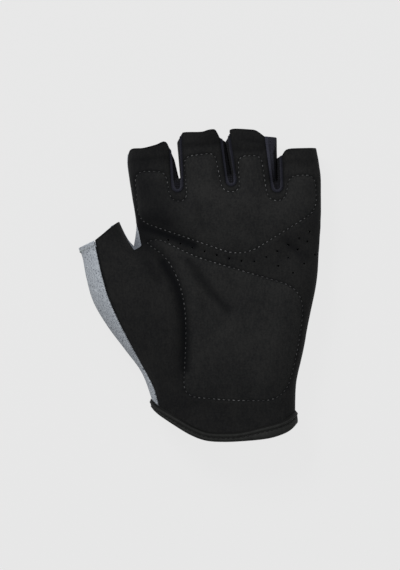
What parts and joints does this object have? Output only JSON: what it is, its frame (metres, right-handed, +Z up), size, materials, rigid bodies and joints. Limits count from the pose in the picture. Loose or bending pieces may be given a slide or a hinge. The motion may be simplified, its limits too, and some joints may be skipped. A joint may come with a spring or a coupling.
{
  "type": "fingerless fitness glove",
  "caption": "Left-hand fingerless fitness glove lying palm up: padded suede palm, heathered knit back, gussets between short open fingers and a taped wrist edge.",
  "frame": {"origin": "on the surface the glove lies on, under the middle of its bounding box", "axes": "+X from the thumb side to the little finger, +Y from the wrist to the fingertips, +Z up from the back of the glove to its palm"},
  "size_m": [0.1282, 0.1652, 0.0289],
  "materials": {
    "palm_suede": "matt black synthetic suede with a short nap",
    "pad_suede": "matt black synthetic suede over thin foam",
    "back_knit": "grey heathered jersey knit",
    "gusset_knit": "grey heathered jersey knit",
    "fourchette_mesh": "dark navy ribbed stretch knit",
    "binding_tape": "matt black woven tape, folded and stitched"
  },
  "bodies": {
    "root": {"palm_panel": "palm_suede", "back_panel": "back_knit", "thumb_gusset": "gusset_knit", "fourchette_index_middle": "fourchette_mesh", "fourchette_middle_ring": "fourchette_mesh", "fourchette_ring_little": "fourchette_mesh", "knuckle_pad": "pad_suede", "heel_pad": "pad_suede", "wrist_binding": "binding_tape"}
  },
  "joints": []
}
